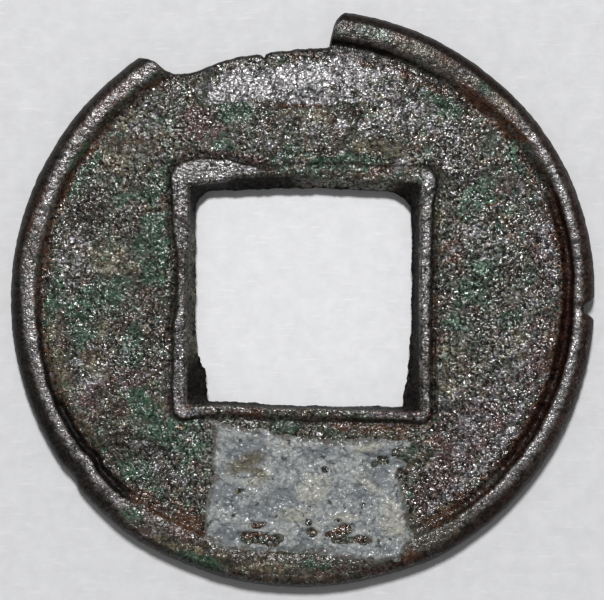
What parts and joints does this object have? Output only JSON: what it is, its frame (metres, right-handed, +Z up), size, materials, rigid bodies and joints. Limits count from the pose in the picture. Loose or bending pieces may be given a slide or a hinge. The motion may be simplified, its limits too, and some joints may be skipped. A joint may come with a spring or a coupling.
{
  "type": "cash coin",
  "caption": "Round cast bronze cash coin with a square hole, raised outer and inner rims, a broken stretch of rim and a film of label residue.",
  "frame": {"origin": "centre of the round disc, on the plane of the lower rim that the coin rests on", "axes": "+Z up through the square hole, out of the face with both rims; +Y towards the broken stretch of rim, the top of the picture; +X to the picture's right"},
  "size_m": [0.0254, 0.025, 0.0015],
  "materials": {
    "patinated_bronze": "dark corroded bronze with green and brown patina",
    "label_residue": "dried grey-white film, matt"
  },
  "bodies": {
    "root": {"coin_casting": "patinated_bronze", "label_residue": "label_residue"}
  },
  "joints": []
}
